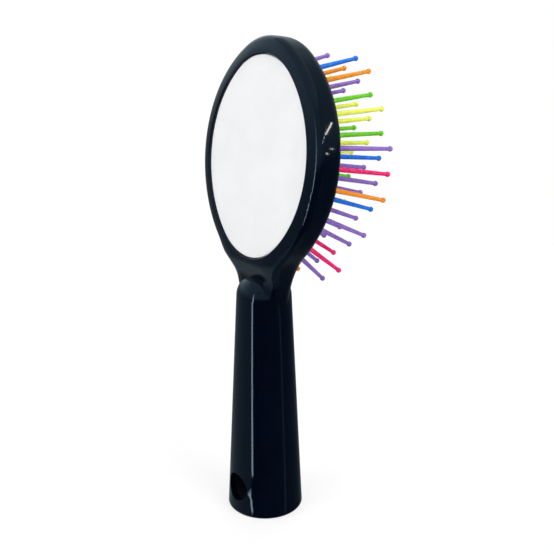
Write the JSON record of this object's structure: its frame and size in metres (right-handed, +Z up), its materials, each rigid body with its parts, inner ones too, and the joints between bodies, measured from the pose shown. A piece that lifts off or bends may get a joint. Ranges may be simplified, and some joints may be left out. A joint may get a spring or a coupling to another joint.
{
  "type": "massage comb",
  "caption": "Upright oval cushion hair brush: glossy black head and round handle, white back plate, and ball-tipped pins in a sprung rubber cushion.",
  "frame": {"origin": "centre of the flat foot of the handle", "axes": "+Z up the handle to the head, -Y out of the white plate, +Y towards the pins, +X across the head"},
  "size_m": [0.0698, 0.0541, 0.1847],
  "materials": {
    "black_gloss": "glossy moulded black plastic",
    "black_plug": "satin moulded black plastic",
    "white_plate": "smooth white coated plate",
    "adhesive": "thin double-sided adhesive sheet",
    "black_ring": "glossy moulded black plastic",
    "black_rubber": "matt black natural rubber",
    "pin_purple": "glossy moulded nylon",
    "pin_orange": "glossy moulded nylon",
    "pin_lime": "glossy moulded nylon",
    "pin_green": "glossy moulded nylon",
    "pin_blue": "glossy moulded nylon",
    "pin_pink": "glossy moulded nylon"
  },
  "bodies": {
    "brush": {"brush_body": "black_gloss", "end_plug": "black_plug", "back_plate": "white_plate", "plate_tape": "adhesive", "cushion_ring": "black_ring"},
    "cushion": {"cushion": "black_rubber"},
    "file_left_4": {"pins_left_4_orange": "pin_orange", "pins_left_4_blue": "pin_blue", "pins_left_4_lime": "pin_lime"},
    "file_left_3": {"pins_left_3_purple": "pin_purple", "pins_left_3_green": "pin_green", "pins_left_3_pink": "pin_pink", "pins_left_3_lime": "pin_lime", "pins_left_3_orange": "pin_orange"},
    "file_left_2": {"pins_left_2_lime": "pin_lime", "pins_left_2_purple": "pin_purple", "pins_left_2_orange": "pin_orange", "pins_left_2_blue": "pin_blue", "pins_left_2_green": "pin_green", "pins_left_2_pink": "pin_pink"},
    "file_left_1": {"pins_left_1_purple": "pin_purple", "pins_left_1_lime": "pin_lime", "pins_left_1_orange": "pin_orange", "pins_left_1_pink": "pin_pink", "pins_left_1_blue": "pin_blue", "pins_left_1_green": "pin_green"},
    "file_middle": {"pins_middle_orange": "pin_orange", "pins_middle_purple": "pin_purple", "pins_middle_green": "pin_green", "pins_middle_lime": "pin_lime"},
    "file_right_1": {"pins_right_1_blue": "pin_blue", "pins_right_1_purple": "pin_purple", "pins_right_1_lime": "pin_lime", "pins_right_1_green": "pin_green", "pins_right_1_pink": "pin_pink"},
    "file_right_2": {"pins_right_2_orange": "pin_orange", "pins_right_2_green": "pin_green", "pins_right_2_lime": "pin_lime", "pins_right_2_purple": "pin_purple", "pins_right_2_pink": "pin_pink"},
    "file_right_3": {"pins_right_3_lime": "pin_lime", "pins_right_3_green": "pin_green", "pins_right_3_blue": "pin_blue", "pins_right_3_purple": "pin_purple"},
    "file_right_4": {"pins_right_4_purple": "pin_purple", "pins_right_4_pink": "pin_pink", "pins_right_4_orange": "pin_orange"}
  },
  "joints": [
    {"name": "cushion_press", "type": "slide", "parent": "brush", "child": "cushion", "axis": [0, -0.9919, 0.1271], "range_m": [0, 0.003], "stiffness_N_per_m": 3000, "deforming": ["cushion"]},
    {"name": "file_left_4_rock", "type": "hinge", "parent": "cushion", "child": "file_left_4", "pos_m": [-0.0246, 0.01093, 0.14028], "axis": [0, 0.1271, 0.9919], "range_deg": [-12, 12], "stiffness_Nm_per_rad": 0.25},
    {"name": "file_left_3_rock", "type": "hinge", "parent": "cushion", "child": "file_left_3", "pos_m": [-0.01845, 0.01251, 0.14008], "axis": [0, 0.1271, 0.9919], "range_deg": [-12, 12], "stiffness_Nm_per_rad": 0.25},
    {"name": "file_left_2_rock", "type": "hinge", "parent": "cushion", "child": "file_left_2", "pos_m": [-0.0123, 0.01294, 0.14002], "axis": [0, 0.1271, 0.9919], "range_deg": [-12, 12], "stiffness_Nm_per_rad": 0.25},
    {"name": "file_left_1_rock", "type": "hinge", "parent": "cushion", "child": "file_left_1", "pos_m": [-0.00615, 0.01321, 0.13998], "axis": [0, 0.1271, 0.9919], "range_deg": [-12, 12], "stiffness_Nm_per_rad": 0.25},
    {"name": "file_middle_rock", "type": "hinge", "parent": "cushion", "child": "file_middle", "pos_m": [0, 0.01364, 0.13993], "axis": [0, 0.1271, 0.9919], "range_deg": [-12, 12], "stiffness_Nm_per_rad": 0.25},
    {"name": "file_right_1_rock", "type": "hinge", "parent": "cushion", "child": "file_right_1", "pos_m": [0.00615, 0.01321, 0.13998], "axis": [0, 0.1271, 0.9919], "range_deg": [-12, 12], "stiffness_Nm_per_rad": 0.25},
    {"name": "file_right_2_rock", "type": "hinge", "parent": "cushion", "child": "file_right_2", "pos_m": [0.0123, 0.01294, 0.14002], "axis": [0, 0.1271, 0.9919], "range_deg": [-12, 12], "stiffness_Nm_per_rad": 0.25},
    {"name": "file_right_3_rock", "type": "hinge", "parent": "cushion", "child": "file_right_3", "pos_m": [0.01845, 0.01251, 0.14008], "axis": [0, 0.1271, 0.9919], "range_deg": [-12, 12], "stiffness_Nm_per_rad": 0.25},
    {"name": "file_right_4_rock", "type": "hinge", "parent": "cushion", "child": "file_right_4", "pos_m": [0.0246, 0.01093, 0.14028], "axis": [0, 0.1271, 0.9919], "range_deg": [-12, 12], "stiffness_Nm_per_rad": 0.25}
  ]
}
